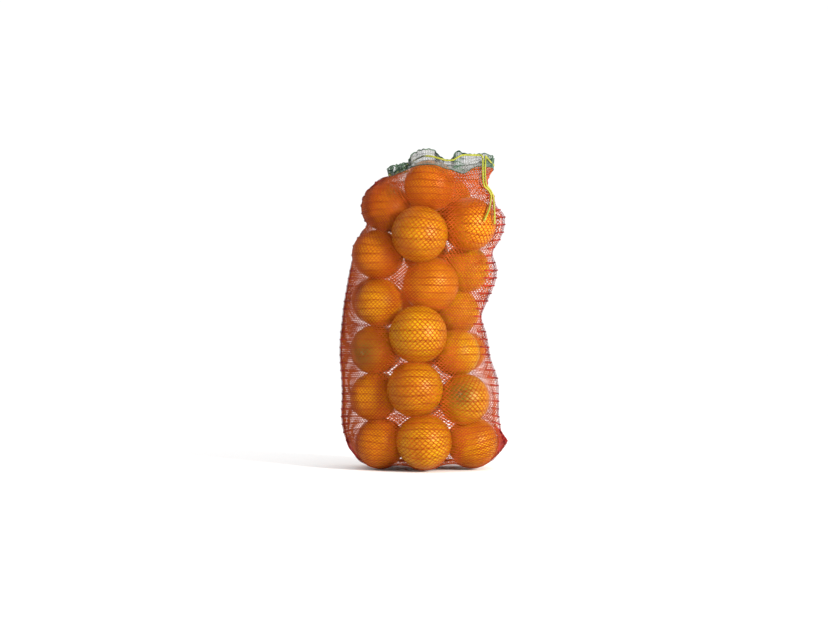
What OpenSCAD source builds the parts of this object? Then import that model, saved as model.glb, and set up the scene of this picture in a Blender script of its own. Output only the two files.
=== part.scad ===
// Mesh produce bag: a raschel net sack with side seams and a drawn hem, packed with oranges.
// Millimetres. The bag stands on z = 0 with its front towards -Y and its width along X.
// Every soft piece is a plain thin solid of the right size. Two halves of net meet in the plane y = 0.

/* [Net] */
// Thickness of the net, drawn as a plain skin
net_wall = 1.2; // [0.8:0.1:1.6]
// Thickness of the overlocked seams, where the two halves of net meet
seam_t = 1.2; // [0.8:0.1:1.6]

/* [Mouth] */
// Height of the top edge of the hem above the floor
mouth_top = 421; // [416:1:424]
// Height of the hem band around the mouth
hem_h = 27; // [24:1:29]
// Clearance around each half of the mouth, where it folds open
lip_gap = 1.2; // [0.8:0.1:2]

/* [Drawstring] */
// Diameter of the drawstring
string_d = 2.4; // [2:0.1:2.6]

/* [Fruit] */
// Size of every orange, as a share of a tightly packed load
fruit_fit = 1; // [0.9:0.01:1]

/* [Hidden] */
// Cross-sections of the filled bag: height, then how far it reaches to the left, right, front
// and back of the origin, then the width of the seam allowance on the left and on the right.
sections = [
    [  0,  78,  78, 58, 68, 3, 3],
    [  3,  90,  90, 70, 78, 4, 5],
    [ 12, 100, 100, 80, 84, 4, 8],
    [ 34, 106, 105, 86, 88, 4, 7],
    [ 64, 106, 105, 88, 88, 4, 4],
    [ 97, 107, 106, 88, 88, 4, 4],
    [128, 107, 103, 88, 88, 4, 5],
    [160, 108,  99, 88, 88, 4, 4],
    [184, 108,  86, 88, 88, 4, 5],
    [206, 108,  78, 84, 88, 4, 6],
    [228, 108,  79, 80, 88, 4, 12],
    [256, 106,  92, 82, 88, 4, 8],
    [286, 101,  97, 87, 88, 4, 5],
    [315,  96, 102, 88, 88, 4, 6],
    [345,  90, 102, 82, 88, 4, 6],
    [368,  81,  98, 67, 86, 4, 5],
    [384,  64,  94, 66, 84, 4, 4],
];
body_top = sections[len(sections) - 1][0];
neck_base = body_top + lip_gap;
hem_base = mouth_top - hem_h;

// How square a cross-section is: 2 is an ellipse, and more is squarer
squareness_front = 3;
squareness_back = 4;

// The mouth above the shoulders: how far it reaches left, right, front and back
mouth = [56, 92, 66, 84];

// Each half of the mouth spans this range of x; beyond it the net stays with the bag
lip_left = -40;
lip_right = 66;

// Steps around half of a cross-section, and around each piece of the mouth
steps_half = 28;
steps_mouth = 14;

// The flat underside is drawn by narrowing the lowest section towards the bottom seam
underside = [0, 0.5];
// Height up to which the skin is thick vertically as well as sideways
turn_h = 34;

// Drawstring: height of its run around the hem, and where its two ends come out at the front
string_z = mouth_top - 13;
string_sides = 8;
outlet_a_x = 74;
outlet_b_x = 83;
// Play between the drawstring and the hem
string_play = 0.3;

// Free ends of the drawstring, from the outlet down, at their real length
tail_a_route = [
    [76, -58, 406], [77, -60, 394], [80, -62, 379], [87, -66, 368],
    [88, -71, 360], [85, -77, 345], [79, -83, 330],
];
tail_b_route = [
    [80.5, -56, 406], [81.5, -58, 394], [84, -60, 380], [91, -61, 369],
    [92, -64, 356], [93, -67, 341], [93, -68, 325],
];

// Oranges: x, y and z of the centre, then the diameter, and a turn about z where it isn't a
// quarter turn outwards. The first is the top one in the mouth.
oranges = [
    [  8, -22, 378, 70], [-50, -2, 350, 66, 130], [ -6, -45, 313, 75], [ 60, -24, 327, 72],
    [ 32,  42, 362, 66], [-62, -14, 287, 67], [ 56,  16, 269, 65], [  9, -22, 247, 75, -20],
    [-60, -16, 223, 65], [ 44,  20, 211, 62], [ -8, -46, 181, 77], [-66, -14, 160, 66],
    [ 43,  -8, 156, 64], [-67, -10,  97, 65], [-12, -45, 109, 75], [ 53, -34,  95, 68],
    [-58, -14,  36, 67], [  0, -45,  40, 74], [ 64, -12,  37, 68], [-60,  50,  35, 64],
    [-62,  51,  97, 63], [-61,  49, 160, 65], [-67,  45, 226, 65], [-59,  50, 287, 64],
    [  3,  46,  36, 64], [ -1,  44,  99, 61], [  0,  44, 164, 60], [ -7,  50, 227, 58],
    [  3,  42, 289, 62], [-28,  54, 343, 60], [ 66,  50,  35, 57], [ 57,  42,  97, 56],
    [ 57,  51, 156, 55],
];
// Where two oranges press on each other, both are flat, and this gap lies between them
press_gap = 0.4;
net_colour = [0.80, 0.24, 0.12];
seam_colour = [0.45, 0.10, 0.08];
hem_colour = [0.42, 0.47, 0.40];
string_colour = [0.76, 0.80, 0.16];

function fruit_name(i) = str("fruit_", i < 10 ? "0" : "", i);

// A row is [z, left, right, front, back, depth share]: one cross-section of a skin.
function row_of(section, share = 1) =
    [section[0], section[1], section[2], section[3], section[4], share];
function mouth_row(z, out = 0) = [z, mouth[0] + out, mouth[1] + out, mouth[2] + out, mouth[3] + out, 1];
function centre_x(row) = (row[2] - row[1]) / 2;
function half_w(row) = (row[2] + row[1]) / 2;

// How much of the wall's thickness is laid vertically at a height: all of it on the flat underside
function lift_at(z) = net_wall * max(0, 1 - z / turn_h);

// The same row, on the inner face of the skin
function inner_row(row) = [
    row[0] + lift_at(row[0]),
    row[1] - net_wall, row[2] - net_wall, row[3] - net_wall, row[4] - net_wall, row[5],
];

function signed_power(v, p) = sign(v) * pow(abs(v), p);

// A point on a row at an angle; 0 is the right side, 90 the back, 180 the left and 270 the front
function ring_point(row, angle) =
    let (
        front = sin(angle) < 0,
        p = 2 / (front ? squareness_front : squareness_back),
        depth = front ? row[3] : row[4]
    )
    [
        centre_x(row) + half_w(row) * signed_power(cos(angle), p),
        depth * row[5] * signed_power(sin(angle), p),
        row[0],
    ];

// The angle, from 0 to 180, at which a row reaches a given x, on its front or back half
function angle_at(row, x, squareness) =
    acos(signed_power((x - centre_x(row)) / half_w(row), squareness / 2));
function back_angle(row, x) = angle_at(row, x, squareness_back);
function front_angle(row, x) = 360 - angle_at(row, x, squareness_front);

// Spans of angle that a piece covers on a row
function front_half(row) = [180, 360];
function back_half(row) = [0, 180];
function front_lip_span(row) = [front_angle(row, lip_left), front_angle(row, lip_right)];
function back_lip_span(row) = [back_angle(row, lip_right), back_angle(row, lip_left)];
function left_span(row) = [back_angle(row, lip_left - lip_gap), front_angle(row, lip_left - lip_gap)];
function right_span(row) =
    [front_angle(row, lip_right + lip_gap) - 360, back_angle(row, lip_right + lip_gap)];

function ring(row, span, steps) =
    [for (i = [0:steps]) ring_point(row, span[0] + (span[1] - span[0]) * i / steps)];

// Faces of a strip of cells between two rings of points, starting at points a and b
function strip(a, b, steps) =
    [for (i = [0:steps - 1]) each [[a + i, b + i, b + i + 1], [a + i, b + i + 1, a + i + 1]]];

// A skin through the rows: outer rings, then inner rings, closed along its four edges
module skin(rows, span_of, steps) {
    inner = [for (row = rows) inner_row(row)];
    n = steps + 1;
    m = len(rows);
    points = concat(
        [for (row = rows) each ring(row, span_of(row), steps)],
        [for (row = inner) each ring(row, span_of(row), steps)]
    );
    outside = [for (j = [0:m - 2]) each strip(j * n, (j + 1) * n, steps)];
    inside = [for (j = [0:m - 2]) each strip((m + j + 1) * n, (m + j) * n, steps)];
    lower = strip(m * n, 0, steps);
    upper = strip((m - 1) * n, (2 * m - 1) * n, steps);
    start = [for (j = [0:m - 2]) each let (a = j * n, b = a + n, c = a + m * n, d = b + m * n)
        [[a, c, d], [a, d, b]]];
    end = [for (j = [0:m - 2]) each let (a = j * n + steps, b = a + n, c = a + m * n, d = b + m * n)
        [[a, b, d], [a, d, c]]];
    polyhedron(points, concat(outside, inside, lower, upper, start, end), convexity = 8);
}

// Rows of the body: the flat underside from the bottom seam outwards, then the sides
function body_rows() = concat(
    [for (share = underside) row_of(sections[0], share)],
    [for (section = sections) row_of(section)]
);

module front_net() {
    color(net_colour) translate([0, -seam_t / 2, 0])
        skin(body_rows(), function (row) front_half(row), steps_half);
}

module back_net() {
    color(net_colour) translate([0, seam_t / 2, 0])
        skin(body_rows(), function (row) back_half(row), steps_half);
}

// A seam lies flat in the plane between the two halves of net, and stands out past them
module side_seam(side, reach, allowance) {
    inner_edge = [for (s = sections) [side * (s[reach] - net_wall), s[0]]];
    outer_edge = [for (s = sections) [side * (s[reach] + s[allowance]), s[0]]];
    outline = [for (k = [0:len(sections) - 1]) outer_edge[len(sections) - 1 - k]];
    color(seam_colour) translate([0, seam_t / 2, 0]) rotate([90, 0, 0])
        linear_extrude(seam_t) polygon(concat(inner_edge, outline));
}

module left_seam() { side_seam(-1, 1, 5); }

module right_seam() { side_seam(1, 2, 6); }

module bottom_seam() {
    left = sections[0][1] - net_wall;
    right = sections[0][2] - net_wall;
    color(seam_colour) translate([-left, -seam_t / 2, 0]) cube([left + right, seam_t, net_wall]);
}

function neck_rows() = [mouth_row(neck_base), mouth_row(hem_base)];
function hem_rows() = [mouth_row(hem_base), mouth_row(mouth_top)];

module neck_left() {
    color(net_colour) skin(neck_rows(), function (row) left_span(row), steps_mouth);
}

module neck_right() {
    color(net_colour) skin(neck_rows(), function (row) right_span(row), steps_mouth);
}

module hem_left() {
    color(hem_colour) skin(hem_rows(), function (row) left_span(row), steps_mouth);
}

module hem_right() {
    color(hem_colour) skin(hem_rows(), function (row) right_span(row), steps_mouth);
}

module front_lip_net() {
    color(net_colour) skin(neck_rows(), function (row) front_lip_span(row), steps_mouth);
}

module front_hem() {
    color(hem_colour) skin(hem_rows(), function (row) front_lip_span(row), steps_mouth);
}

module back_lip_net() {
    color(net_colour) skin(neck_rows(), function (row) back_lip_span(row), steps_mouth);
}

module back_hem() {
    color(hem_colour) skin(hem_rows(), function (row) back_lip_span(row), steps_mouth);
}

// A string swept along a route: a ring of points across the route at each of its points
module string(route) {
    n = len(route);
    points = [
        for (i = [0:n - 1])
            let (
                ahead = route[min(i + 1, n - 1)] - route[max(i - 1, 0)],
                along = ahead / norm(ahead),
                helper = abs(along[2]) > 0.7 ? [0, 1, 0] : [0, 0, 1],
                across = cross(along, helper) / norm(cross(along, helper)),
                third = cross(along, across)
            )
            for (k = [0:string_sides - 1])
                let (turn = 360 * k / string_sides)
                    route[i] + string_d / 2 * (across * cos(turn) + third * sin(turn))
    ];
    sides = [
        for (i = [0:n - 2], k = [0:string_sides - 1])
            let (a = i * string_sides + k, b = i * string_sides + (k + 1) % string_sides)
            each [[a, b + string_sides, b], [a, a + string_sides, b + string_sides]]
    ];
    first = [for (k = [0:string_sides - 1]) k];
    last = [for (k = [0:string_sides - 1]) n * string_sides - 1 - k];
    color(string_colour) polyhedron(points, concat(sides, [first, last]), convexity = 6);
}

// The drawstring's run around the hem, just outside it
function string_row() = mouth_row(string_z, string_d / 2 + string_play);
function string_run(start, end, steps) = ring(string_row(), [start, end], steps);

module drawstring_front() {
    span = front_lip_span(string_row());
    string(string_run(span[0], span[1], steps_mouth));
}

module drawstring_back() {
    span = back_lip_span(string_row());
    string(string_run(span[0], span[1], steps_mouth));
}

module drawstring_left() {
    span = left_span(string_row());
    string(string_run(span[0], span[1], steps_mouth));
}

// On the right the string stops at its two outlets, and its free ends hang from there
module drawstring_right() {
    span = right_span(string_row());
    string(string_run(span[0], front_angle(string_row(), outlet_a_x) - 360, 3));
    string(string_run(front_angle(string_row(), outlet_b_x) - 360, span[1], steps_mouth));
}

module string_tail_a() { string(tail_a_route); }

module string_tail_b() { string(tail_b_route); }

function centre_of(orange) = [orange[0], orange[1], orange[2]];
function radius_of(orange) = orange[3] * fruit_fit / 2;
function turn_of(orange) = is_undef(orange[4]) ? (orange[1] < 0 ? -90 : 90) : orange[4];

// How far out from its centre orange a is pressed flat by orange b
function press_at(a, b) =
    let (apart = norm(centre_of(b) - centre_of(a)))
    (apart + (pow(radius_of(a), 2) - pow(radius_of(b), 2)) / apart - press_gap) / 2;

// A round orange, pressed flat where its neighbours push on it
module fruit(i) {
    orange = oranges[i - 1];
    block = 3 * radius_of(orange);
    color([0.94, 0.50 + 0.06 * sin(i * 73), 0.08])
        translate(centre_of(orange)) difference() {
            rotate([0, 0, turn_of(orange)]) sphere(r = radius_of(orange), $fn = 48);
            for (other = oranges)
                if (other != orange && press_at(orange, other) < radius_of(orange))
                    let (way = centre_of(other) - centre_of(orange))
                        rotate([0, acos(way[2] / norm(way)), atan2(way[1], way[0])])
                            translate([-block / 2, -block / 2, press_at(orange, other)]) cube(block);
        }
}

front_net();
back_net();
left_seam();
right_seam();
bottom_seam();
neck_left();
neck_right();
hem_left();
hem_right();
front_lip_net();
front_hem();
back_lip_net();
back_hem();
drawstring_front();
drawstring_back();
drawstring_left();
drawstring_right();
string_tail_a();
string_tail_b();
for (i = [1:len(oranges)]) fruit(i);
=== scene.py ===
"""A mesh produce bag full of oranges: its looks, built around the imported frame.

Lengths are in millimetres until a mesh or curve is made, and MM turns them into metres.
"""

import math

import bpy
import numpy as np
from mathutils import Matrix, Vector


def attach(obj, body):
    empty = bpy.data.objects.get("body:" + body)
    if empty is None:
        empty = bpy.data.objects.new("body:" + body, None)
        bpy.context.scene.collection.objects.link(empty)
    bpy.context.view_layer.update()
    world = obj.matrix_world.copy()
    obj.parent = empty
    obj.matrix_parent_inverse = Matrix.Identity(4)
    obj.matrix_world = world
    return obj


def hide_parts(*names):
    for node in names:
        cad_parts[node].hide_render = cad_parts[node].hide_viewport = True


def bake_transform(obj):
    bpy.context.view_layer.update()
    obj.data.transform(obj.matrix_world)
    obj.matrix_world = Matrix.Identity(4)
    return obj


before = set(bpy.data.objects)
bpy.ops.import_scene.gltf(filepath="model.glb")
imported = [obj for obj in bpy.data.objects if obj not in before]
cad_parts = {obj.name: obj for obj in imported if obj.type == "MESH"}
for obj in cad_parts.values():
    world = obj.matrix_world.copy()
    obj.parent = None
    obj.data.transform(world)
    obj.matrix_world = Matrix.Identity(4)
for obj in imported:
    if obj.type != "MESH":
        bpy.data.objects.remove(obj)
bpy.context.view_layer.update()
MM = 0.001
rng = np.random.default_rng(7)

# ---------------------------------------------------------------- the frame, in millimetres

FRUIT_NODES = sorted(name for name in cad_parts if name.startswith("fruit_"))


def fitted_sphere(node):
    """The centre and radius of an orange, whose flat pressed faces have only edge points."""
    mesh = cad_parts[node].data
    p = np.empty(len(mesh.vertices) * 3, np.float32)
    mesh.vertices.foreach_get("co", p)
    p = p.reshape(-1, 3).astype(float) / MM
    for _ in range(2):
        terms = np.concatenate([2 * p, np.ones((len(p), 1))], axis=1)
        answer = np.linalg.lstsq(terms, (p**2).sum(axis=1), rcond=None)[0]
        centre = answer[:3]
        radius = math.sqrt(answer[3] + centre @ centre)
        p = p[np.abs(np.linalg.norm(p - centre, axis=1) - radius) < 0.5]
    return centre, radius


def fruit_places():
    """The centre and radius of every orange, as the frame holds them."""
    fits = [fitted_sphere(name) for name in FRUIT_NODES]
    return np.array([centre for centre, _ in fits]), np.array([radius for _, radius in fits])


CENTRES, RADII = fruit_places()

# ---------------------------------------------------------------- driving sizes of the net

WALES = 104  # zigzag yarns from one side seam to the other
CROWDING = 1.6  # how much closer together they lie at the left seam, where the net is slack
CROWDED = 0.12  # the share of a sheet's width over which they do
COURSES = 47  # crosswise cords from the bottom seam to the hem
STITCHES_PER_COURSE = 4  # half zigzags between two crosswise cords
KNOT_SHARE = 0.36  # how much of each half zigzag two neighbouring yarns run side by side
YARN = (0.80, 0.36)  # width and thickness of a zigzag yarn, a flat tape, where it is taut on the fruit
OPENED = 0.8  # how much wider the tape opens, as a share of its width, where the net hangs slack
SLACK = (4.5, 12.0)  # distances from the fruit at which the tape begins to open and is fully open
SIDE = (0.17, 0.11)  # shares of a sheet's width from the left seam at which it begins and ends opening
CORD = (0.62, 0.42)  # width and thickness of a crosswise cord
TOOTH = 2.8  # how far a crosswise cord stands out past a side seam
RUNG = (2.0, 0.80)  # width and thickness of a cord beside a side seam
CHAIN = (0.9, 0.4)  # width and thickness of an upright chain beside a side seam
FIN_WALES = 2  # wales beside the right seam that are open, with chains in place of zigzags
CHAIN_WALES = (2.3, 6.1, WALES - 5.5, WALES - 1.2)  # where the upright chains lie
RUNG_REACH = {"left": 14, "right": 20}  # how far the rungs reach in from each side seam
THREAD = 0.55  # thickness of the overlock thread
SEAM_DEPTH = 3.2  # how far the overlock reaches in from the edge
STITCH = 3.5  # length of one overlock stitch
OVERLOCK_OUT = 0.9  # how far the overlock loops past the edge
OVERLOCK_HALF = 0.8  # from the seam's middle to the chain stitch on each of its faces
STRING = 2.4  # diameter of the drawstring
SKIN_GAP = 0.35  # net to fruit
PRESS_GAP = 0.4  # between two oranges pressed flat on each other
FLOOR_GAP = 0.5  # the lowest yarn to the floor

# ---------------------------------------------------------------- outlines of the bag

# The side seams, from the bottom corner to the hem: x, y, z
LEFT_SEAM = [
    (-97, 4, 24), (-106, 2, 46), (-110, 0, 70), (-109, -2, 95), (-110, 0, 125), (-112, 2, 158),
    (-110, 2, 190), (-106, 0, 224), (-100, -2, 258), (-93, 0, 290), (-84, 2, 316), (-75, 3, 329),
    (-79, 2, 342), (-81, 2, 358), (-71, 1, 376), (-60, 0, 387), (-49, -4, 392), (-41, -8, 392),
]
RIGHT_SEAM = [
    (111, 4, 35), (104, 2, 48), (100, -2, 68), (99, -3, 92), (98, 0, 118), (88, 3, 150),
    (83, 3, 180), (76, 0, 203), (83, -4, 224), (94, -4, 250), (96, -2, 270), (91, 2, 290),
    (100, 3, 306), (106, 0, 322), (106, -4, 340), (95, -6, 353), (92, -8, 367), (85, -10, 379),
    (86, -9, 392), (91, -8, 401),
]
# The bottom seam, from the left corner to the right one
BOTTOM_SEAM = [
    (-97, 4, 24), (-84, 2, 10), (-58, 0, 3), (-29, 0, 13), (2, 0, 3), (34, 0, 13), (64, 0, 3),
    (88, 2, 10), (101, 4, 22), (111, 4, 35),
]
# The middle of each sheet, from the bottom seam to the hem: distance out from the seam plane, and z
FRONT_MIDDLE = [
    (0, 2), (40, 1), (72, 4), (86, 18), (88, 60), (89, 180), (89, 310), (78, 352), (60, 384), (52, 403),
]
BACK_MIDDLE = [
    (0, 2), (46, 1), (78, 4), (88, 18), (90, 60), (90, 180), (90, 300), (88, 350), (82, 376), (77, 396),
]
# The hem around the mouth: x and y of its run, and the heights of its lower and upper edges
FRONT_HEM = [
    (-41, -8, 391, 396), (-35, -22, 394, 402), (-26, -34, 397, 407), (-17, -41, 401, 415),
    (-10, -46, 403, 422), (0, -50, 404, 424), (12, -52, 404, 423), (20, -54, 402, 415),
    (29, -56, 398, 410), (36, -57, 397, 411), (43, -58, 394, 421), (52, -58, 392, 418),
    (63, -54, 399, 417), (72, -49, 402, 418), (82, -39, 402, 419), (90, -24, 402, 417), (93, -8, 401, 415),
]
BACK_HEM = [
    (-41, -8, 391, 396), (-46, 12, 388, 402), (-43, 38, 386, 408), (-30, 62, 388, 413),
    (-8, 76, 394, 416), (20, 79, 396, 414), (48, 75, 394, 412), (72, 60, 392, 414),
    (86, 36, 396, 417), (92, 12, 400, 416), (93, -8, 401, 415),
]

# ---------------------------------------------------------------- soft pieces at the mouth

# A range for each half of the mouth, in metres: (bag, lip, start, end). The front one slants towards the
# right end of the hem, where the string comes out. A stretch of string given a range is left unattached;
# nothing bends over it.
FRONT_FOLD = ("bag", "front_lip", (0, 0, 0.4195), (-0.0026, -0.0049, 0.4294))
BACK_FOLD = ("bag", "back_lip", (0, 0, 0.4150), (0, 0.0084, 0.4318))
# A range for the string's right half, along the hem's run towards the outlet
OUTLET_FOLD = ("bag", "front_lip", (0.076, 0, 0), (0.036, 0, 0))

# ---------------------------------------------------------------- curves and grids


def smooth_path(points, count):
    """count points spaced evenly along a smooth curve through the given points."""
    p = np.array(points, float)
    gaps = np.linalg.norm(np.diff(p[:, :3] if p.shape[1] > 2 else p, axis=0), axis=1)
    knots = np.concatenate([[0], np.cumsum(np.maximum(gaps, 1e-6))])
    slopes = np.empty_like(p)
    slopes[1:-1] = (p[2:] - p[:-2]) / (knots[2:] - knots[:-2])[:, None]
    slopes[0] = (p[1] - p[0]) / (knots[1] - knots[0])
    slopes[-1] = (p[-1] - p[-2]) / (knots[-1] - knots[-2])
    s = np.linspace(0, knots[-1], count)
    k = np.clip(np.searchsorted(knots, s, side="right") - 1, 0, len(p) - 2)
    h = (knots[k + 1] - knots[k])[:, None]
    t = (s - knots[k])[:, None] / h
    a = 2 * t**3 - 3 * t**2 + 1
    b = t**3 - 2 * t**2 + t
    c = -2 * t**3 + 3 * t**2
    d = t**3 - t**2
    return a * p[k] + b * h * slopes[k] + c * p[k + 1] + d * h * slopes[k + 1]


def unit(v):
    """Vectors along the last axis, made one long."""
    return v / np.maximum(np.linalg.norm(v, axis=-1, keepdims=True), 1e-9)


def keep_out(p, clearance):
    """Points pushed out of every orange and up off the floor."""
    for centre, radius in zip(CENTRES, RADII):
        away = p - centre
        reach = np.linalg.norm(away, axis=-1)
        inside = reach < radius + clearance
        if inside.any():
            p[inside] = centre + away[inside] / reach[inside][:, None] * (radius + clearance)
    p[..., 2] = np.maximum(p[..., 2], FLOOR_GAP)
    return p


def eased(share):
    """Shares from 0 to 1, with a soft start and end."""
    return share * share * (3 - 2 * share)


def slackness(p):
    """How slack the net is at each point: 0 on the fruit and 1 well away from it."""
    off = np.stack([np.linalg.norm(p - centre, axis=-1) - radius for centre, radius in zip(CENTRES, RADII)])
    return eased(np.clip((off.min(axis=0) - SLACK[0]) / (SLACK[1] - SLACK[0]), 0, 1))


# ---------------------------------------------------------------- the cloth simulation

GRID_LEVELS = ((31, 51, 160), (61, 101, 110), (121, 201, 70))  # columns, rows and steps of each pass
CROSS_PULL = [(0, 0.35), (0.05, 0.5), (0.16, 3.0), (1, 3.0)]  # height share, pull across against along
SQUARENESS = 2.9  # of the loose sheet before it is drawn in
EASE = 0.9  # share of the way that a point moves towards its rest in one step
CORNER_GATHER = 14  # height above the bottom corner over which the lowest rows are gathered
LEFT_RUFFLE = (2.5, 11)  # height of the left seam's ruffles, in y, and how many waves it has
RIGHT_RUFFLE = (4.5, 14)


def seam_row(points, heights, ruffle, waves):
    """A seam's pinned points, one for each row of the sheet: level with the row's middle, with a ruffle in y.

    The lowest rows, which run under the fruit, are gathered into the bottom corner."""
    path = smooth_path(points, 1200)
    path[:, 2] = np.maximum.accumulate(path[:, 2] + np.linspace(0, 0.01, len(path)))
    corner, top = path[0, 2], path[-1, 2]
    rows = len(heights)
    first = int(np.argmax(heights > corner + CORNER_GATHER))
    level = heights.copy()
    level[: first + 1] = np.linspace(corner, heights[first], first + 1)
    near_top = np.linspace(0, 1, rows) ** 6
    level += near_top * (top - heights[-1])
    seam = np.stack([np.interp(level, path[:, 2], path[:, axis]) for axis in range(3)], axis=1)
    along = np.linspace(0, 1, rows)
    seam[:, 1] += ruffle * np.sin(2 * math.pi * waves * along) * np.sin(math.pi * along)
    return seam


def loose_sheet(side, middle, hem, columns, rows):
    """A sheet hung loosely outside the fruit, between the seams: rows x columns points."""
    mid = smooth_path(middle, rows)
    seam_heights = np.maximum.accumulate(smooth_path(FRONT_MIDDLE, rows)[:, 1])
    left = seam_row(LEFT_SEAM, seam_heights, *LEFT_RUFFLE)
    right = seam_row(RIGHT_SEAM, seam_heights, *RIGHT_RUFFLE)
    turn = np.linspace(0, math.pi, columns)
    across = -np.sign(np.cos(turn)) * np.abs(np.cos(turn)) ** (2 / SQUARENESS)
    out = np.sin(turn) ** (2 / SQUARENESS)
    centre = (left + right) / 2
    half = (right - left) / 2
    p = centre[:, None] + half[:, None] * across[None, :, None]
    p[..., 1] += out[None] * (side * mid[:, 0:1] - centre[:, 1:2])
    p[..., 2] += out[None] * (mid[:, 1:2] - centre[:, 2:3])
    p[0] = smooth_path(BOTTOM_SEAM, columns)
    p[-1] = smooth_path(hem, columns)[:, :3]
    p[:, 0], p[:, -1] = left, right
    return p


def draw_in(p, steps):
    """The net's own tension: every loose point moves towards its neighbours and stays out of the fruit."""
    heights, pulls = zip(*CROSS_PULL)
    pull = np.interp(np.linspace(0, 1, len(p))[1:-1], heights, pulls)[:, None, None]
    for _ in range(steps):
        across = p[1:-1, :-2] + p[1:-1, 2:]
        along = p[:-2, 1:-1] + p[2:, 1:-1]
        rest = (pull * across + along) / (2 * (pull + 1))
        p[1:-1, 1:-1] += EASE * (rest - p[1:-1, 1:-1])
        p[1:-1, 1:-1] = keep_out(p[1:-1, 1:-1], SKIN_GAP)
    return p


def finer(p, columns, rows):
    """The same sheet on a finer grid."""
    r = np.linspace(0, p.shape[0] - 1, rows)
    c = np.linspace(0, p.shape[1] - 1, columns)
    return sample(p, r[:, None] + 0 * c[None], c[None] + 0 * r[:, None])


def sample(p, r, c):
    """Points of a grid at fractional rows and columns."""
    r0 = np.clip(np.floor(r).astype(int), 0, p.shape[0] - 2)
    c0 = np.clip(np.floor(c).astype(int), 0, p.shape[1] - 2)
    fr, fc = (r - r0)[..., None], (c - c0)[..., None]
    top = p[r0, c0] * (1 - fc) + p[r0, c0 + 1] * fc
    bottom = p[r0 + 1, c0] * (1 - fc) + p[r0 + 1, c0 + 1] * fc
    return top * (1 - fr) + bottom * fr


def simulate_sheet(side, middle, hem):
    """One sheet of net drawn tight over the fruit, from coarse to fine."""
    p = None
    for columns, rows, steps in GRID_LEVELS:
        start = loose_sheet(side, middle, hem, columns, rows)
        if p is not None:
            inner = finer(p, columns, rows)
            start[1:-1, 1:-1] = inner[1:-1, 1:-1]
        p = draw_in(start, steps)
    return p


def grid_normals(p, side):
    """Outward unit normals of a sheet, side -1 for the front and 1 for the back."""
    across = np.gradient(p, axis=1)
    along = np.gradient(p, axis=0)
    return unit(np.cross(across, along)) * (-side)


# ---------------------------------------------------------------- meshes from points


def new_mesh(name, points, faces, material):
    """A mesh object from points in millimetres and an array of four-cornered faces."""
    mesh = bpy.data.meshes.new(name)
    mesh.vertices.add(len(points))
    mesh.vertices.foreach_set("co", (np.asarray(points, float) * MM).ravel())
    faces = np.asarray(faces)
    corners = faces.shape[1]
    mesh.loops.add(faces.size)
    mesh.loops.foreach_set("vertex_index", faces.ravel())
    mesh.polygons.add(len(faces))
    mesh.polygons.foreach_set("loop_start", np.arange(0, faces.size, corners))
    mesh.polygons.foreach_set("use_smooth", np.full(len(faces), True))
    mesh.update(calc_edges=True)
    mesh.validate()
    mesh.materials.append(material)
    piece = bpy.data.objects.new(name, mesh)
    bpy.context.scene.collection.objects.link(piece)
    return piece


def tube_strands(lines, normals, width, thickness):
    """Points and faces of flat four-sided yarns that follow many lines at once: lines x steps x 3.

    The width is one number, or one for each step of each line.
    """
    sides = 4
    count, steps, _ = lines.shape
    width = np.asarray(width)[..., None]
    along = unit(np.gradient(lines, axis=1))
    across = unit(np.cross(along, normals))
    up = unit(np.cross(across, along))
    rings = []
    for k in range(sides):
        turn = 2 * math.pi * k / sides
        rings.append(lines + across * (math.cos(turn) * width / 2) + up * (math.sin(turn) * thickness / 2))
    points = np.stack(rings, axis=2).reshape(-1, 3)
    base = (np.arange(count)[:, None] * steps + np.arange(steps - 1)[None]).ravel() * sides
    faces = []
    for k in range(sides):
        a, b = base + k, base + (k + 1) % sides
        faces.append(np.stack([a, b, b + sides, a + sides], axis=1))
    first = (np.arange(count) * steps) * sides
    last = first + (steps - 1) * sides
    faces.append(np.stack([first + 3, first + 2, first + 1, first], axis=1))
    faces.append(np.stack([last, last + 1, last + 2, last + 3], axis=1))
    return points, np.concatenate(faces)


def joined(parts):
    """Several sets of points and faces as one."""
    points, faces, start = [], [], 0
    for p, f in parts:
        points.append(p)
        faces.append(f + start)
        start += len(p)
    return np.concatenate(points), np.concatenate(faces)


# ---------------------------------------------------------------- materials

PEEL_GREEN = (0.125, 0.082, 0.009)


def material(name):
    """A new node material: the material, its nodes, links and the principled shader."""
    m = bpy.data.materials.new(name)
    m.use_nodes = True
    nodes, links = m.node_tree.nodes, m.node_tree.links
    return m, nodes, links, nodes["Principled BSDF"]


def coordinates(nodes, links, scale):
    """Object coordinates in metres, times a scale."""
    place = nodes.new("ShaderNodeTexCoord")
    mapping = nodes.new("ShaderNodeMapping")
    mapping.inputs["Scale"].default_value = (scale, scale, scale)
    links.new(place.outputs["Object"], mapping.inputs["Vector"])
    return mapping.outputs["Vector"]


def noise(nodes, links, vector, scale, detail):
    """Noise of a scale, in waves a metre, and a detail."""
    n = nodes.new("ShaderNodeTexNoise")
    n.inputs["Scale"].default_value = scale
    n.inputs["Detail"].default_value = detail
    links.new(vector, n.inputs["Vector"])
    return n.outputs["Fac"]


def ramp(nodes, links, value, stops):
    """Colours between stops of (position, colour)."""
    r = nodes.new("ShaderNodeValToRGB")
    elements = r.color_ramp.elements
    while len(elements) < len(stops):
        elements.new(0.5)
    for element, (position, colour) in zip(elements, stops):
        element.position = position
        element.color = (*colour, 1)
    links.new(value, r.inputs["Fac"])
    return r.outputs["Color"]


def bump(nodes, links, shader, height, strength, distance):
    """Raises a shader's surface by a height texture, over a distance in metres."""
    b = nodes.new("ShaderNodeBump")
    b.inputs["Strength"].default_value = strength
    b.inputs["Distance"].default_value = distance
    links.new(height, b.inputs["Height"])
    links.new(b.outputs["Normal"], shader.inputs["Normal"])


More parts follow.
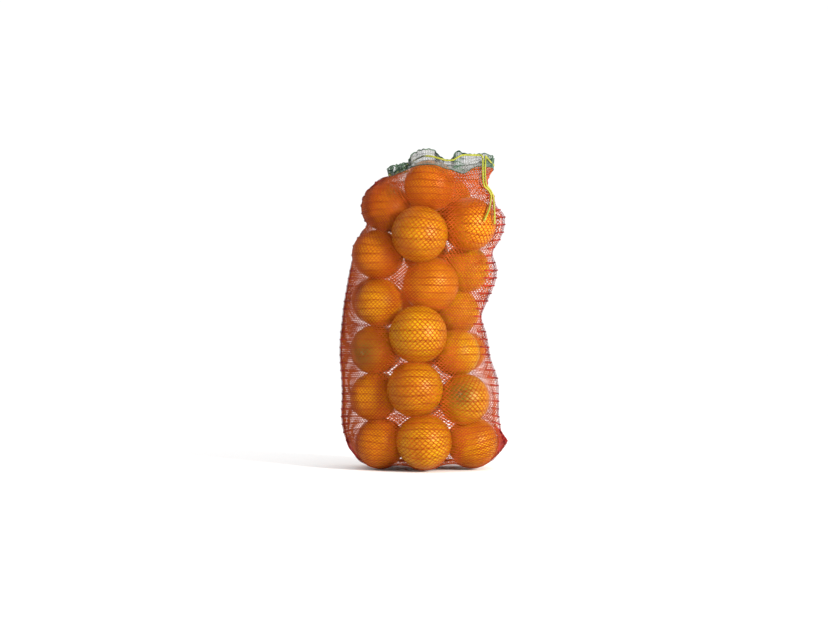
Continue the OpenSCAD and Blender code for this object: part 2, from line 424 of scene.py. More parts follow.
def yarn_material(name, dark, light, clear, through, roughness=0.4):
    """Plastic yarn: uneven colour, a soft sheen, a fine drawn texture, and partly see-through."""
    m, nodes, links, shader = material(name)
    vector = coordinates(nodes, links, 1)
    patches = noise(nodes, links, vector, 60, 4)
    links.new(ramp(nodes, links, patches, [(0.36, dark), (0.64, light)]), shader.inputs["Base Color"])
    shader.inputs["Roughness"].default_value = roughness
    shader.inputs["Specular IOR Level"].default_value = 0.25
    shader.inputs["Specular Tint"].default_value = (*through, 1)
    bump(nodes, links, shader, noise(nodes, links, vector, 2600, 2), 0.35, 0.0002)
    film = nodes.new("ShaderNodeBsdfTransparent")
    film.inputs["Color"].default_value = (*through, 1)
    mix = nodes.new("ShaderNodeMixShader")
    mix.inputs["Fac"].default_value = clear
    links.new(shader.outputs["BSDF"], mix.inputs[1])
    links.new(film.outputs["BSDF"], mix.inputs[2])
    links.new(mix.outputs["Shader"], nodes["Material Output"].inputs["Surface"])
    return m


def peel_material(index, warmth, light):
    """Orange peel: blotches from yellow to deep orange, green where the mesh says so, and pores."""
    m, nodes, links, shader = material(f"orange_peel_{index:02d}")
    place = nodes.new("ShaderNodeTexCoord")
    shift = nodes.new("ShaderNodeVectorMath")
    shift.operation = "ADD"
    shift.inputs[1].default_value = (index * 1.7, index * 0.9, index * 2.3)
    links.new(place.outputs["Object"], shift.inputs[0])
    vector = shift.outputs["Vector"]
    blotch = noise(nodes, links, vector, 24, 4)
    # light scales the peel's colours: partly the orange's own tone, partly painted light and shade.
    deep = (0.355 * light, 0.110 * light * warmth, 0.0010)
    bright = (0.46 * light, 0.200 * light * warmth, 0.0015)
    skin = ramp(nodes, links, blotch, [(0.36, deep), (0.64, bright)])
    grain = noise(nodes, links, vector, 420, 2)
    speckle = ramp(nodes, links, grain, [(0.30, (0.80, 0.72, 0.6)), (0.5, (1, 1, 1))])
    tone = nodes.new("ShaderNodeMix")
    tone.data_type = "RGBA"
    tone.blend_type = "MULTIPLY"
    tone.inputs["Factor"].default_value = 1
    links.new(skin, tone.inputs[6])
    links.new(speckle, tone.inputs[7])
    green = nodes.new("ShaderNodeAttribute")
    green.attribute_name = "green"
    mix = nodes.new("ShaderNodeMix")
    mix.data_type = "RGBA"
    links.new(green.outputs["Fac"], mix.inputs["Factor"])
    links.new(tone.outputs[2], mix.inputs[6])
    mix.inputs[7].default_value = (*PEEL_GREEN, 1)
    links.new(mix.outputs[2], shader.inputs["Base Color"])
    pores = nodes.new("ShaderNodeTexVoronoi")
    pores.feature = "SMOOTH_F1"
    pores.inputs["Scale"].default_value = 560
    pores.inputs["Smoothness"].default_value = 0.6
    links.new(vector, pores.inputs["Vector"])
    bump(nodes, links, shader, pores.outputs["Distance"], 0.5, 0.0006)
    shader.inputs["Roughness"].default_value = 0.36
    shader.inputs["Specular IOR Level"].default_value = 0.26
    shader.inputs["Specular Tint"].default_value = (1, 0.78, 0.45, 1)
    return m


def stem_material():
    """The dry green-brown star where the stem was."""
    m, nodes, links, shader = material("stem_star")
    vector = coordinates(nodes, links, 1)
    patches = noise(nodes, links, vector, 500, 3)
    colour = ramp(nodes, links, patches, [(0.3, (0.06, 0.07, 0.01)), (0.7, (0.24, 0.20, 0.06))])
    links.new(colour, shader.inputs["Base Color"])
    shader.inputs["Roughness"].default_value = 0.8
    bump(nodes, links, shader, noise(nodes, links, vector, 1500, 3), 0.5, 0.0004)
    return m


# ---------------------------------------------------------------- oranges

# Which way the stem end points on oranges where it shows, and how green each is around it
STEM_TOWARDS = {
    "fruit_16": (-0.20, -0.93, 0.28), "fruit_12": (-0.52, -0.84, -0.12), "fruit_02": (0.36, -0.70, 0.62),
}
GREEN_SHARE = {"fruit_16": 1.0, "fruit_12": 1.15, "fruit_02": 0.8}
GREEN_REACH = {"fruit_16": 0.66, "fruit_12": 0.72, "fruit_02": 0.32}  # radians from the stem end
# How yellow an orange is (1 is the usual one, less is redder), and how light. Both are partly each orange's
# own tone and partly painted light and shade, set orange by orange for the light that falls on it.
FRUIT_TINT_AND_PAINTED_LIGHT = {
    "fruit_01": (0.88, 1.12), "fruit_02": (0.76, 0.88), "fruit_03": (1.06, 0.92), "fruit_04": (0.92, 1.02),
    "fruit_05": (1.20, 1.05), "fruit_06": (0.82, 0.92), "fruit_07": (1.55, 1.14), "fruit_08": (0.98, 1.00),
    "fruit_09": (1.14, 1.06), "fruit_10": (1.66, 1.22), "fruit_11": (1.26, 1.00), "fruit_12": (1.08, 1.00),
    "fruit_13": (1.44, 1.10), "fruit_14": (1.12, 1.20), "fruit_15": (1.16, 0.98), "fruit_16": (1.32, 1.06),
    "fruit_17": (1.00, 1.18), "fruit_18": (1.18, 1.00), "fruit_19": (1.32, 1.18),
}
RINGS, SEGMENTS = 72, 96
PEEL_SHARE = 0.992  # the peel's mean radius as a share of the CAD's, which leaves room for its lumps
OBLATE = 0.985  # how much shorter an orange is along its stem axis
STEM_RADIUS = 3.4
STEM_SEAT = 0.935  # where the stem star sits, as a share of the orange's radius
STAR_SIDES = 40


def press_planes(index):
    """Where an orange's neighbours press it flat: directions, and distances from its centre."""
    planes = []
    for other in range(len(CENTRES)):
        way = CENTRES[other] - CENTRES[index]
        apart = np.linalg.norm(way)
        if other == index:
            continue
        reach = (apart + (RADII[index] ** 2 - RADII[other] ** 2) / apart - PRESS_GAP) / 2
        if reach < RADII[index]:
            planes.append((way / apart, reach))
    return planes


def pressed(points, index):
    """Points of an orange about its centre, flattened where neighbours press."""
    for way, reach in press_planes(index):
        past = np.maximum(points @ way - reach, 0)
        points = points - past[:, None] * way
    return points


def orange_shape(radius, phase):
    """Points of one orange about its stem axis, with how near each is to the stem end."""
    tilt = np.linspace(0, math.pi, RINGS + 1)
    turn = np.linspace(0, 2 * math.pi, SEGMENTS, endpoint=False)
    a, b = np.meshgrid(tilt, turn, indexing="ij")
    dimple = 0.055 * np.exp(-((a / 0.20) ** 2)) * (1 + 0.22 * np.cos(7 * b + phase))
    scar = 0.008 * np.exp(-(((math.pi - a) / 0.09) ** 2))
    lumps = 0.004 * np.sin(3 * a + phase) * np.cos(2 * b + phase)
    r = radius * (PEEL_SHARE - dimple - scar + lumps)
    points = np.stack([r * np.sin(a) * np.cos(b), r * np.sin(a) * np.sin(b), OBLATE * r * np.cos(a)], axis=-1)
    return points.reshape(-1, 3), a.ravel()


def sphere_faces():
    """Faces of the rings of an orange; the poles are closed by narrow four-cornered faces."""
    i, j = np.meshgrid(np.arange(RINGS), np.arange(SEGMENTS), indexing="ij")
    a = (i * SEGMENTS + j).ravel()
    b = (i * SEGMENTS + (j + 1) % SEGMENTS).ravel()
    return np.stack([a, a + SEGMENTS, b + SEGMENTS, b], axis=1)


def stem_star(radius):
    """A small five-lobed star with a button in its middle, at the stem end."""
    turn = np.linspace(0, 2 * math.pi, STAR_SIDES, endpoint=False)
    rows = []
    for reach, height in ((0.02, 1.1), (0.35, 1.0), (0.5, 0.35), (1.0, 0.05), (0.9, -0.5)):
        r = STEM_RADIUS * reach * (1 + 0.22 * np.cos(5 * turn) * reach)
        z = np.full(STAR_SIDES, OBLATE * radius * STEM_SEAT + height)
        rows.append(np.stack([r * np.cos(turn), r * np.sin(turn), z], axis=-1))
    i, j = np.meshgrid(np.arange(len(rows) - 1), np.arange(STAR_SIDES), indexing="ij")
    a = (i * STAR_SIDES + j).ravel()
    b = (i * STAR_SIDES + (j + 1) % STAR_SIDES).ravel()
    return np.concatenate(rows), np.stack([a, a + STAR_SIDES, b + STAR_SIDES, b], axis=1)


def make_orange(index, node, body):
    """One orange in its place, with its peel, its stem star and its green halo."""
    centre, radius = CENTRES[index], RADII[index]
    away = rng.normal(size=3) * (1, 0.5, 1) + (0, 1.5, 0)
    axis = Vector(STEM_TOWARDS.get(node, tuple(away))).normalized()
    turn = np.array(axis.to_track_quat("Z", "Y").to_matrix())
    points, tilt = orange_shape(radius, index * 1.3)
    star_points, star_faces = stem_star(radius)
    body_faces = sphere_faces()
    all_points, all_faces = joined([(points, body_faces), (star_points, star_faces)])
    # The tint and lightness are partly painted light and shade, set orange by orange.
    warmth, light = FRUIT_TINT_AND_PAINTED_LIGHT.get(node, (0.9 + 0.2 * rng.random(), 0.95))
    peel = peel_material(index + 1, warmth, light)
    placed = pressed(all_points @ turn.T, index) + centre
    piece = new_mesh(f"orange_{index + 1:02d}", placed, all_faces, peel)
    piece.data.materials.append(STEM)
    slots = np.zeros(len(piece.data.polygons), int)
    slots[len(body_faces):] = 1
    piece.data.polygons.foreach_set("material_index", slots)
    share, reach = GREEN_SHARE.get(node, 0.25 * rng.random()), GREEN_REACH.get(node, 0.3)
    halo = np.zeros(len(all_points), np.float32)
    halo[: len(points)] = share * np.exp(-((tilt / reach) ** 2))
    attribute = piece.data.attributes.new("green", "FLOAT", "POINT")
    attribute.data.foreach_set("value", halo)
    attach(piece, body)
    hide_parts(node)


# ---------------------------------------------------------------- net


def across_sheet(wale):
    """The share of a sheet's width at which a wale lies, counted from the left seam."""
    place = np.linspace(0, 1, 401)
    density = 1 + CROWDING * np.exp(-((place / CROWDED) ** 2))
    counted = np.concatenate([[0], np.cumsum((density[1:] + density[:-1]) / 2)])
    return np.interp(wale / WALES, counted / counted[-1], place)


def zigzags(p, n, v_from, v_to):
    """Zigzag yarns of a sheet between two shares of its height; neighbours run side by side at each knot.

    It also gives how far each point of the tape has opened.
    """
    rows, columns = p.shape[:2]
    steps = COURSES * STITCHES_PER_COURSE
    first, last = round(v_from * steps), round(v_to * steps)
    step = np.repeat(np.arange(first, last + 1), 2)
    half_knot = np.tile([-KNOT_SHARE / 2, KNOT_SHARE / 2], last + 1 - first)
    wale = np.arange(WALES - FIN_WALES)
    swing = np.where((step[None] + wale[:, None]) % 2 == 0, 0.5, -0.5)
    u = across_sheet(wale[:, None] + 0.5 + 0.9 * swing)
    v = (step[None] + half_knot[None]) / steps + 0 * u
    u = u + np.repeat(rng.normal(0, 0.0005, (len(wale), last + 1 - first)), 2, axis=1)
    v = v + np.repeat(rng.normal(0, 0.0003, (len(wale), last + 1 - first)), 2, axis=1)
    u, v = np.clip(u, 0.001, 0.999), np.clip(v, 0.0005, 0.9995)
    lines = sample(p, v * (rows - 1), u * (columns - 1))
    normals = unit(sample(n, v * (rows - 1), u * (columns - 1)))
    at_side = eased(np.clip((SIDE[0] - u) / (SIDE[0] - SIDE[1]), 0, 1))
    return lines, normals, np.maximum(slackness(lines), at_side)


def chains(p, n, v_from, v_to):
    """Upright chains beside both side seams, the last of them in the open wales at the right one."""
    rows, columns = p.shape[:2]
    steps = COURSES * STITCHES_PER_COURSE
    step = np.arange(round(v_from * steps), round(v_to * steps) + 1)[None]
    wale = np.array(CHAIN_WALES)[:, None]
    u = across_sheet(wale + 0.12 * np.where(step % 2 == 0, 1, -1))
    v = np.clip(step / steps, 0.0005, 0.9995) + 0 * u
    lines = sample(p, v * (rows - 1), u * (columns - 1))
    return lines, unit(sample(n, v * (rows - 1), u * (columns - 1)))


def courses(p, n, v_from, v_to):
    """Crosswise cords of a sheet between two shares of its height."""
    rows, columns = p.shape[:2]
    first, last = math.ceil(v_from * COURSES), math.ceil(v_to * COURSES)
    v = (np.arange(max(first, 1), last) / COURSES)[:, None]
    u = np.linspace(0.0, 1.0, columns + 40)[None]
    waver = 0.0005 * np.sin(u * 37 + v * 211) + 0.0003 * np.sin(u * 91 + v * 57)
    u, v = u + 0 * v, v + waver
    lines = sample(p, v * (rows - 1), u * (columns - 1))
    normals = unit(sample(n, v * (rows - 1), u * (columns - 1)))
    start = lines[:, :1] + TOOTH * unit(lines[:, :1] - lines[:, 2:3])
    end = lines[:, -1:] + TOOTH * unit(lines[:, -1:] - lines[:, -3:-2])
    lines = np.concatenate([start, lines, end], axis=1)
    normals = np.concatenate([normals[:, :1], normals, normals[:, -1:]], axis=1)
    return lines, normals


def net_piece(name, p, n, v_from, v_to):
    """One piece of net: its zigzag yarns and its crosswise cords, lying on the fruit."""
    zig, zig_n, opened = zigzags(p, n, v_from, v_to)
    cross, cross_n = courses(p, n, v_from, v_to)
    chain, chain_n = chains(p, n, v_from, v_to)
    chain = keep_out(chain, SKIN_GAP + YARN[1] / 2)
    zig = keep_out(zig, SKIN_GAP + YARN[1] / 2)
    cross = keep_out(cross, SKIN_GAP + YARN[1] + CORD[1] / 2)
    tape = YARN[0] * (1 + OPENED * opened)
    points, faces = joined([
        tube_strands(zig, zig_n, tape, YARN[1]),
        tube_strands(cross, cross_n, *CORD),
        tube_strands(chain, chain_n, *CHAIN),
    ])
    piece = new_mesh(name, points, faces, NET)
    piece.data.materials.append(NET_CORD)
    slots = np.zeros(len(piece.data.polygons), int)
    zig_faces = zig.shape[0] * (4 * (zig.shape[1] - 1) + 2)
    slots[zig_faces:] = 1
    piece.data.polygons.foreach_set("material_index", slots)
    return piece


# ---------------------------------------------------------------- seams

NEAR_COLUMNS = 24  # columns of a sheet in which the seams' lines are looked for, from its side
# The shares of a stitch at which the overlock is on the front face, the rim, the back face and the rim
LOOP_PLACES = np.array([0, 0.3, 0.5, 0.8])


def inward(p, distance, from_end):
    """A line that runs a distance in from one side of a sheet, with one point on each row."""
    near = (p[:, ::-1] if from_end else p)[:, :NEAR_COLUMNS]
    steps = np.linalg.norm(np.diff(near, axis=1), axis=2)
    run = np.concatenate([np.zeros((len(p), 1)), np.cumsum(steps, axis=1)], axis=1)
    return np.array([[np.interp(distance, run[i], near[i, :, k]) for k in range(3)] for i in range(len(p))])


def at_rows(line, t):
    """Points of a line at fractional positions along it, from 0 to 1."""
    t = np.clip(t, 0, 1) * (len(line) - 1)
    k = np.arange(len(line))
    return np.stack([np.interp(t, k, line[:, axis]) for axis in range(3)], axis=-1)


def rungs(p, reach, from_end):
    """The thicker ends of the crosswise cords, from their teeth past the edge to a distance in from it."""
    lines = [inward(p, d, from_end) for d in np.linspace(0, reach, 7)]
    normals = np.broadcast_to(np.array([0, 1.0, 0.15]), (COURSES - 1, 8, 3))
    t = np.arange(1, COURSES) / COURSES
    points = np.stack([at_rows(line, t) for line in lines], axis=1)
    tooth = points[:, :1] + TOOTH * unit(points[:, :1] - points[:, 1:2])
    return keep_out(np.concatenate([tooth, points], axis=1), SKIN_GAP + RUNG[0] / 2), normals


def overlock(name, front_sheet, back_sheet, from_end, reach):
    """Thread looped over the edge where two sheets meet, with a chain stitch on each side."""
    edge = front_sheet[:, -1] if from_end else front_sheet[:, 0]
    lines = [inward(sheet, SEAM_DEPTH, from_end) for sheet in (front_sheet, back_sheet)]
    rim = edge + unit(edge - (lines[0] + lines[1]) / 2) * OVERLOCK_OUT
    face = [lines[0] + [0, -OVERLOCK_HALF, 0], lines[1] + [0, OVERLOCK_HALF, 0]]
    length = np.linalg.norm(np.diff(edge, axis=0), axis=1).sum()
    stitches = round(length / STITCH)
    t = np.arange(stitches)[:, None] / stitches + LOOP_PLACES[None] / stitches
    on_loop = [at_rows(line, t[:, k]) for k, line in enumerate((face[0], rim, face[1], rim))]
    loop = np.stack(on_loop, axis=1).reshape(-1, 3)
    loop = smooth_path(loop, 3 * len(loop))
    threads = [loop]
    for line in (*face, rim):
        s = np.linspace(0, 1, 3 * stitches)
        chain = at_rows(line, s)
        chain[:, 1] += 0.35 * np.sin(s * stitches * 2 * math.pi)
        threads.append(chain)
    parts = []
    for thread in threads:
        thread[:, 2] = np.maximum(thread[:, 2], FLOOR_GAP + THREAD)
        thread = keep_out(thread, SKIN_GAP + THREAD)
        up = np.broadcast_to(np.array([0.3, 0.2, 0.9]), thread[None].shape)
        parts.append(tube_strands(thread[None], up, THREAD, THREAD))
    if reach:
        for sheet in (front_sheet, back_sheet):
            parts.append(tube_strands(*rungs(sheet, reach, from_end), *RUNG))
    points, faces = joined(parts)
    piece = new_mesh(name, points, faces, SEAM)
    return piece


# ---------------------------------------------------------------- hem

HEM_ROWS = 12
RIBS_PER_MM = 0.46
HEM_YARN = (0.70, 0.34)  # width and thickness of its ribs, and so on for its other yarns
HEM_CROSSING = (0.5, 0.3)  # the fine yarns that cross between two ribs
HEM_LINE = (0.7, 0.4)  # the yarns along it
HEM_LINES = 5
HEM_TOP_CORD = (1.5, 1.1)
HEM_LOW_CORD = (0.9, 0.5)
HEM_GAP = 0.5  # hem to fruit, past the net's own gap
EDGE_RIPPLES = ((9.5, 0.8), (23.0, 1.5))  # length and height of the hem's ripples at its top edge
SIDE_RIPPLE = (7.3, 0.45)  # length and height of its ripples up and down
RIPPLE_ENDS = 6  # the length over which the ripples fade towards the side seams
LOOSE_HEM_X = -12  # to the left of this, the hem gathers into loops
LOOSENESS = 1.1  # how much higher its ripples are there
DARK_HEM_X = ((-60, -20), (40, 50), (81, 110))  # where the gathered hem shows its dark green side
DARK_HEM_ABOVE = 396


def hem_surface(run, sheet_top, side):
    """The hem band between its lower and upper edges: rows x columns points, and distances along it."""
    count = 4 * len(sheet_top)
    path = smooth_path(run, count)
    lower = at_rows(sheet_top, np.linspace(0, 1, count))
    upper = path[:, [0, 1, 3]]
    flat = np.diff(path[:, :2], axis=0, prepend=path[:1, :2] - (path[1:2, :2] - path[:1, :2]))
    outward = unit(np.stack([flat[:, 1], -flat[:, 0], 0 * flat[:, 0]], axis=1)) * (-side)
    s = np.concatenate([[0], np.cumsum(np.linalg.norm(np.diff(upper, axis=0), axis=1))])
    wave = sum(high * np.sin(2 * math.pi * s / length + k) for k, (length, high) in enumerate(EDGE_RIPPLES))
    loose = 1 + LOOSENESS / (1 + np.exp((upper[:, 0] - LOOSE_HEM_X) / 3))
    level = np.linspace(0, 1, HEM_ROWS)[:, None, None]
    grid = lower[None] * (1 - level) + upper[None] * level
    ends = np.minimum(1, np.minimum(s, s[-1] - s) / RIPPLE_ENDS)
    grid += outward[None] * (level**0.8) * (wave * loose * ends)[None, :, None]
    ripple = SIDE_RIPPLE[1] * np.sin(2 * math.pi * s / SIDE_RIPPLE[0]) * loose * ends
    grid[..., 2] += level[..., 0] * ripple[None]
    return keep_out(grid, SKIN_GAP + HEM_GAP), s


def hem_band(name, run, sheet_top, side):
    """See-through ribbed tape: upright ribs, fine crossing yarns, and a dark rippled edge."""
    grid, s = hem_surface(run, sheet_top, side)
    normals = grid_normals(grid, side)
    rows, columns = grid.shape[:2]
    ribs = round(s[-1] * RIBS_PER_MM)
    along = np.interp(np.linspace(0, s[-1], ribs), s, np.arange(columns))
    v = np.linspace(0, rows - 1, 2 * rows)[None]
    lines = [(v + 0 * along[:, None], along[:, None] + 0 * v, HEM_YARN)]
    gap = columns / ribs
    for turn in (1, -1):
        sway = turn * gap / 2 * np.where(np.arange(2 * rows) % 2 == 0, 1, -1)[None]
        lines.append((v + 0 * along[:, None], np.clip(along[:, None] + sway, 0, columns - 1), HEM_CROSSING))
    across = np.arange(columns)[None]
    levels = np.linspace(0.4, rows - 1.4, HEM_LINES)[:, None]
    lines.append((levels + 0 * across, across + 0 * levels, HEM_LINE))
    parts = []
    for r, c, size in lines:
        parts.append(tube_strands(sample(grid, r, c), unit(sample(normals, r, c)), *size))
    tape_faces = sum(len(f) for _, f in parts)
    top = grid[-1][None]
    parts.append(tube_strands(top, normals[-1][None], *HEM_TOP_CORD))
    bottom = grid[0][None] + normals[0][None] * 0.4
    parts.append(tube_strands(bottom, normals[0][None], *HEM_LOW_CORD))
    points, faces = joined(parts)
    piece = new_mesh(name, points, faces, HEM)
    piece.data.materials.append(HEM_DARK)
    slots = np.zeros(len(faces), int)
    slots[tape_faces:] = 1
    x, _, z = points[faces[:, 0]].T
    x = x + 3 * np.sin(z * 0.9)
    for low, high in DARK_HEM_X:
        slots[(x > low) & (x < high) & (z > DARK_HEM_ABOVE)] = 1
    piece.data.polygons.foreach_set("material_index", slots)
    return piece


# ---------------------------------------------------------------- drawstring

# The string's run along the front of the hem: x, y and z, from the left seam to the outlet
FRONT_RUN = [
    (-41, -6, 392), (-35, -18, 396), (-26, -29, 402), (-17, -36, 408), (-8, -42, 413), (1, -50, 415.4),
    (10, -55, 414.4), (20, -57.5, 411.5), (29, -59, 408.8), (38, -60.5, 409.5), (44, -61, 413),
    (50, -60.5, 415.6), (62, -57.5, 416), (72, -55, 416),
]
OUTLET_RUN = [(72, -55, 416), (75, -56, 415.6), (76.8, -57.5, 412)]
# From the second outlet on to the right seam, and back along the rear hem
RIGHT_RUN = [(80.4, -56.5, 412), (80.6, -54, 414.8), (83, -45, 413), (88, -30, 409), (93, -8, 406)]
BACK_RUN = [
    (93, -8, 406), (93.4, 12, 408), (88, 37, 408), (73, 62, 406), (48, 77.5, 405), (20, 81.5, 406),
    (-8, 78.5, 406), (-32, 64, 402), (-45, 38, 398), (-47, 12, 395), (-41, -6, 392),
]
# The two free ends: x and z from the outlet down; y follows the net
TAIL_A = [
    (76.8, 412), (77.2, 392), (79.0, 377.6), (85.0, 372), (88.6, 366), (88.4, 360), (85, 345), (78.6, 330),
]
TAIL_B = [
    (80.4, 412), (80.2, 392), (82.2, 379), (88.6, 371.5), (91.6, 365), (92.3, 355), (92.6, 341), (92.6, 326),
]
TAIL_GAP = 0.9  # free end to net
TAIL_NEAR = 4.5  # how near a free end a point of the net is to hold it out
LOBES, TWIST = 3, 0.55  # strands twisted into the string, and how many pass one side of it in each diameter
LOBE_HEIGHT = 0.10  # of the string's radius
TWINE_STEP = 0.8
TWINE_SIDES = 12
TWINE_FIT = 0.97  # the mean radius, as a share of half the diameter
FRONT_CUT = 8  # the point of FRONT_RUN at which the string's left and right pieces meet


def twine(name, path):
    """A twisted string along a path, as a tube whose lobes turn around it: the piece and its middle line."""
    length = np.linalg.norm(np.diff(np.array(path, float), axis=0), axis=1).sum()
    line = smooth_path(path, max(8, round(length / TWINE_STEP)))
    along = unit(np.gradient(line, axis=0))
    across = [np.cross(along[0], [0.31, 0.82, 0.48])]
    for k in range(1, len(line)):
        across.append(across[-1] - along[k] * (across[-1] @ along[k]))
    across = unit(np.array(across))
    up = np.cross(along, across)
    s = np.arange(len(line)) * TWINE_STEP
    sides = TWINE_SIDES
    rings = []
    for k in range(sides):
        turn = 2 * math.pi * k / sides
        lobe = 1 + LOBE_HEIGHT * np.cos(LOBES * turn - 2 * math.pi * TWIST * s / STRING)
        r = (STRING / 2 * TWINE_FIT * lobe)[:, None]
        rings.append(line + across * (math.cos(turn) * r) + up * (math.sin(turn) * r))
    points = np.stack(rings, axis=1).reshape(-1, 3)
    base = np.arange(len(line) - 1) * sides
    faces = []
    for k in range(sides):
        a, b = base + k, base + (k + 1) % sides
        faces.append(np.stack([a, b, b + sides, a + sides], axis=1))
    caps = []
    start, end, last = len(points), len(points) + 1, len(points) - sides
    for k in range(0, sides, 2):
        caps.append([start, (k + 2) % sides, k + 1, k])
        caps.append([end, last + k, last + k + 1, last + (k + 2) % sides])
    points = np.concatenate([points, [points[:sides].mean(axis=0), points[-sides:].mean(axis=0)]])
    piece = new_mesh(name, points, np.concatenate([*faces, np.array(caps)]), TWINE)
    return piece, line


def over_net(spots, route):
    """A free end's route laid on the front of the net: its x and z, with y just in front of the net there."""
    laid = []
    for x, z in route:
        near = spots[np.hypot(spots[:, 0] - x, spots[:, 2] - z) < TAIL_NEAR]
        laid.append([x, near[:, 1].min() - YARN[1] - CORD[1] - STRING / 2 - TAIL_GAP, z])
    return laid


# ---------------------------------------------------------------- soft pieces in their places


def make_net(name, p, n, panel_nodes, neck_nodes):
    """One panel of net in two pieces: the lower rides on the bag, and the upper, at the mouth, is left
    unattached.
    """
    lower = net_piece(f"net_{name}_lower", p, n, 0, 0.5)
    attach(lower, "bag")
    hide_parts(*panel_nodes)
    upper = net_piece(f"net_{name}_upper", p, n, 0.5, 1)
    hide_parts(*neck_nodes)
    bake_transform(upper)


def make_hem(name, run, sheet_top, side, nodes):
    """Half of the hem, gathered on the top of its panel of net."""
    hem = hem_band(f"hem_{name}", run, sheet_top, side)
    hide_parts(*nodes)
    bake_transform(hem)


def make_seam(name, front_sheet, back_sheet, from_end, reach):
    """One seam between the two panels, fixed to the bag."""
    seam = overlock(f"seam_{name}", front_sheet, back_sheet, from_end, reach)
    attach(seam, "bag")
    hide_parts(f"{name}_seam")


def make_held_string(name, path, nodes, fold=None):
    """A stretch of the drawstring held in the hem: it rides on the bag, or is left unattached where it has a
    fold.
    """
    piece, _ = twine(f"drawstring_{name}", path)
    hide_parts(*nodes)
    if fold:
        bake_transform(piece)
    else:
        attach(piece, "bag")


def make_free_end(letter, route, spots):
    """One free end of the drawstring, hanging in front of the net."""
    piece, line = twine(f"free_end_{letter}", over_net(spots, route))
    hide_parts(f"string_tail_{letter}")
    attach(piece, f"tail_{letter}")


# ---------------------------------------------------------------- studio, in metres and watts

CAMERA_DISTANCE = 2.6
LENS = 84.4  # millimetres, on a sensor 36 wide
FRAME_MIDDLE = (-0.0134, 0.2124)  # x and z at the middle of the picture
WORLD_LIGHT = 1.03
KEY_PLACE = (1.6, -1.6, 0.75)
KEY_TARGET = (0, 0, 0.2)
KEY_SIZE = 0.55
KEY_POWER = 100
KEY_COLOUR = (1, 0.96, 0.88)
FLOOR_HALF = 6.0


def make_camera():
    """The camera, level and square on to the bag's front."""
    data = bpy.data.cameras.new("camera")
    data.lens = LENS
    data.sensor_width = 36
    camera = bpy.data.objects.new("camera", data)
    bpy.context.scene.collection.objects.link(camera)
    camera.location = (FRAME_MIDDLE[0], -CAMERA_DISTANCE, FRAME_MIDDLE[1])
    camera.rotation_euler = (math.pi / 2, 0, 0)
    bpy.context.scene.camera = camera


def make_key_light():
    """One soft round light from the right."""
    data = bpy.data.lights.new("key", "AREA")
    data.shape = "DISK"
    data.size = KEY_SIZE
    data.energy = KEY_POWER
    data.color = KEY_COLOUR
    light = bpy.data.objects.new("key", data)
    light.location = KEY_PLACE
    light.rotation_euler = (Vector(KEY_TARGET) - Vector(KEY_PLACE)).to_track_quat("-Z", "Y").to_euler()
    bpy.context.scene.collection.objects.link(light)


def make_studio():
    """White surroundings, the key light and a plain white floor."""
    world = bpy.data.worlds.new("studio")
    world.use_nodes = True
    background = world.node_tree.nodes["Background"]
    background.inputs["Color"].default_value = (1, 1, 1, 1)
    background.inputs["Strength"].default_value = WORLD_LIGHT
    bpy.context.scene.world = world
    bpy.context.scene.view_settings.view_transform = "Standard"
    make_key_light()
    mesh = bpy.data.meshes.new("floor")
    s = FLOOR_HALF
    mesh.from_pydata([(-s, -s, 0), (s, -s, 0), (s, s, 0), (-s, s, 0)], [], [(0, 1, 2, 3)])
    floor = bpy.data.objects.new("floor", mesh)
    bpy.context.scene.collection.objects.link(floor)
    m, _, _, shader = material("floor_paper")
    shader.inputs["Base Color"].default_value = (1, 1, 1, 1)
    shader.inputs["Roughness"].default_value = 1.0
    shader.inputs["Specular IOR Level"].default_value = 0.0
    mesh.materials.append(m)


# ---------------------------------------------------------------- build

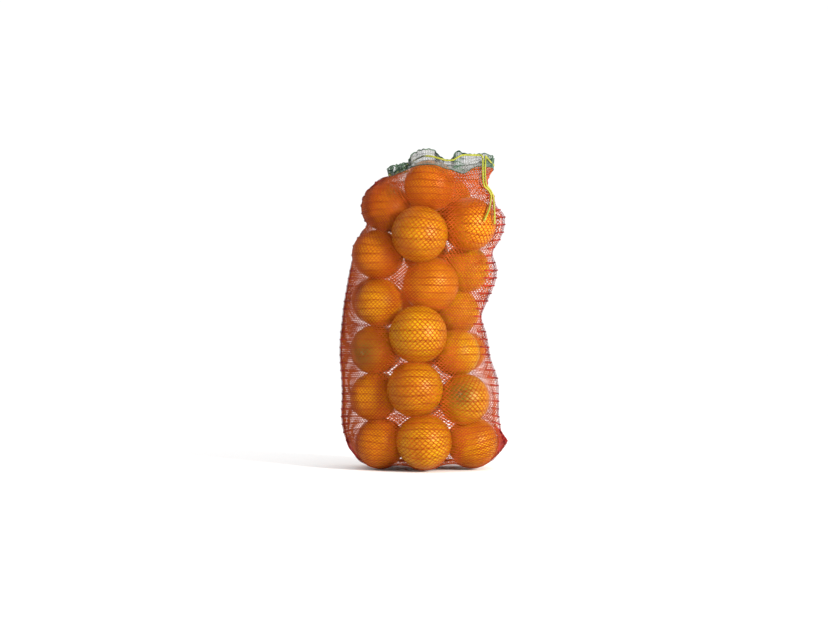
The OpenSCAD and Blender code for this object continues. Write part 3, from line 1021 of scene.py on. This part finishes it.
make_camera()
STEM = stem_material()
NET = yarn_material("net_yarn", (0.33, 0.052, 0.006), (0.45, 0.090, 0.010), 0.38, (1.0, 0.45, 0.22))
NET_CORD = yarn_material("net_cord", (0.22, 0.028, 0.006), (0.33, 0.046, 0.010), 0.22, (1.0, 0.38, 0.16))
SEAM = yarn_material("seam_thread", (0.15, 0.009, 0.010), (0.30, 0.021, 0.018), 0.1, (1.0, 0.4, 0.3))
HEM = yarn_material("hem_tape", (0.10, 0.113, 0.115), (0.255, 0.262, 0.255), 0.34, (0.95, 0.93, 0.88))
HEM_DARK = yarn_material("hem_edge", (0.012, 0.035, 0.022), (0.07, 0.12, 0.075), 0.05, (0.6, 0.8, 0.7))
TWINE = yarn_material("drawstring", (0.18, 0.205, 0.018), (0.30, 0.29, 0.036), 0.0, (1, 1, 0.7), 0.45)

for i, node in enumerate(FRUIT_NODES):
    make_orange(i, node, "top_orange" if node == "fruit_01" else "bag")

front = simulate_sheet(-1, FRONT_MIDDLE, FRONT_HEM)
back = simulate_sheet(1, BACK_MIDDLE, BACK_HEM)
front_n, back_n = grid_normals(front, -1), grid_normals(back, 1)

make_net(
    "front", front, front_n, ["front_net"], ["front_lip_net", "neck_left", "neck_right"],
)
make_net(
    "back", back, back_n, ["back_net"], ["back_lip_net"],
)
front_hem_nodes = ["front_hem", "hem_left", "hem_right"]
make_hem("front", FRONT_HEM, front[-1], -1, front_hem_nodes)
make_hem("back", BACK_HEM, back[-1], 1, ["back_hem"])

make_seam("left", front, back, False, RUNG_REACH["left"])
make_seam("right", front, back, True, RUNG_REACH["right"])
make_seam("bottom", front.transpose(1, 0, 2), back.transpose(1, 0, 2), False, 0)

left_run, right_run = FRONT_RUN[: FRONT_CUT + 1], FRONT_RUN[FRONT_CUT:] + OUTLET_RUN[1:]
make_held_string("front_left", left_run, ["drawstring_front", "drawstring_left"], FRONT_FOLD)
make_held_string("front_right", right_run, ["drawstring_front"], OUTLET_FOLD)
make_held_string("side", RIGHT_RUN, ["drawstring_right"])
make_held_string("rear", BACK_RUN, ["drawstring_back"], BACK_FOLD)

hem_grid, _ = hem_surface(FRONT_HEM, front[-1], -1)
spots = np.concatenate([front.reshape(-1, 3), hem_grid.reshape(-1, 3)])
make_free_end("a", TAIL_A, spots)
make_free_end("b", TAIL_B, spots)

make_studio()
